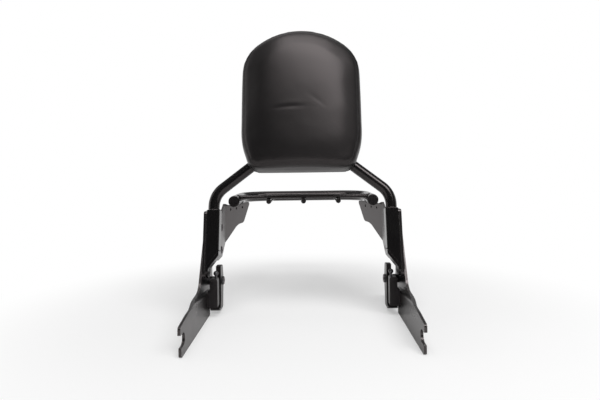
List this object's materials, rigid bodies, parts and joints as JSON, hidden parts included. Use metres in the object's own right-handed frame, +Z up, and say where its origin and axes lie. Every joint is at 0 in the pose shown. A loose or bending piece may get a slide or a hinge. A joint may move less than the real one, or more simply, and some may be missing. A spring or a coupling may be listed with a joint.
{
  "type": "motorbike backrest with luggage rack",
  "caption": "Detachable passenger backrest for a motorbike: padded upright on flat side plates that dock on the frame rails, with spring latches and a tubular luggage rack behind.",
  "frame": {"origin": "midway between the side plates, on the axis of the open notches at the front of the docking arms", "axes": "+X towards the rider's right, +Y towards the rear of the motorbike, +Z up"},
  "size_m": [0.3592, 0.4821, 0.4923],
  "materials": {
    "plate_metal": "gloss black powder coat on flat steel",
    "tube_metal": "gloss black powder coat on round tube and rod",
    "latch_metal": "gloss black coating on pressed steel",
    "fastener_metal": "black zinc plated steel, satin",
    "spring_steel": "drawn wire, dark",
    "black_plastic": "moulded, matt",
    "vinyl": "satin upholstery vinyl over foam",
    "board": "plywood backing board",
    "black_paint": "black painted steel strip"
  },
  "bodies": {
    "frame": {"backrest_pad": "vinyl", "end_strap_left": "plate_metal", "end_strap_right": "plate_metal", "foot_plate_left": "plate_metal", "foot_plate_right": "plate_metal", "latch_block_left": "black_plastic", "latch_block_right": "black_plastic", "latch_block_screws_left": "fastener_metal", "latch_block_screws_right": "fastener_metal", "latch_bush_left": "fastener_metal", "latch_bush_right": "fastener_metal", "latch_pivot_bolt_left": "fastener_metal", "latch_pivot_bolt_right": "fastener_metal", "latch_pivot_nut_left": "fastener_metal", "latch_pivot_nut_right": "fastener_metal", "latch_post_left": "fastener_metal", "latch_post_right": "fastener_metal", "latch_spring_left": "spring_steel", "latch_spring_right": "spring_steel", "pad_board": "board", "pad_carrier_lower": "black_paint", "pad_carrier_upper": "black_paint", "pad_screw_lower_left": "fastener_metal", "pad_screw_lower_right": "fastener_metal", "pad_screw_upper_left": "fastener_metal", "pad_screw_upper_right": "fastener_metal", "rack_bolt_lower_left": "fastener_metal", "rack_bolt_lower_right": "fastener_metal", "rack_bolt_upper_left": "fastener_metal", "rack_bolt_upper_right": "fastener_metal", "rack_bracket_left": "plate_metal", "rack_bracket_right": "plate_metal", "rack_cross_rod": "tube_metal", "rack_end_cap_left": "black_plastic", "rack_end_cap_right": "black_plastic", "rack_loop": "tube_metal", "rack_nut_lower_left": "fastener_metal", "rack_nut_lower_right": "fastener_metal", "rack_nut_upper_left": "fastener_metal", "rack_nut_upper_right": "fastener_metal", "rack_slat_left": "tube_metal", "rack_slat_middle": "tube_metal", "rack_slat_right": "tube_metal", "rack_washer_lower_left": "fastener_metal", "rack_washer_lower_right": "fastener_metal", "rack_washer_upper_left": "fastener_metal", "rack_washer_upper_right": "fastener_metal", "side_plate_left": "plate_metal", "side_plate_right": "plate_metal", "tube_socket_left": "plate_metal", "tube_socket_right": "plate_metal", "upright_tube": "tube_metal"},
    "lever_right": {"latch_lever_right": "latch_metal"},
    "lever_left": {"latch_lever_left": "latch_metal"}
  },
  "joints": [
    {"name": "latch_right_turn", "type": "hinge", "parent": "frame", "child": "lever_right", "pos_m": [0.15, 0.206, 0.03], "axis": [1, 0, 0], "range_deg": [0, 45], "stiffness_Nm_per_rad": 0.4, "springref_deg": -28.65},
    {"name": "latch_left_turn", "type": "hinge", "parent": "frame", "child": "lever_left", "pos_m": [-0.15, 0.206, 0.03], "axis": [1, 0, 0], "range_deg": [0, 45], "stiffness_Nm_per_rad": 0.4, "springref_deg": -28.65}
  ]
}
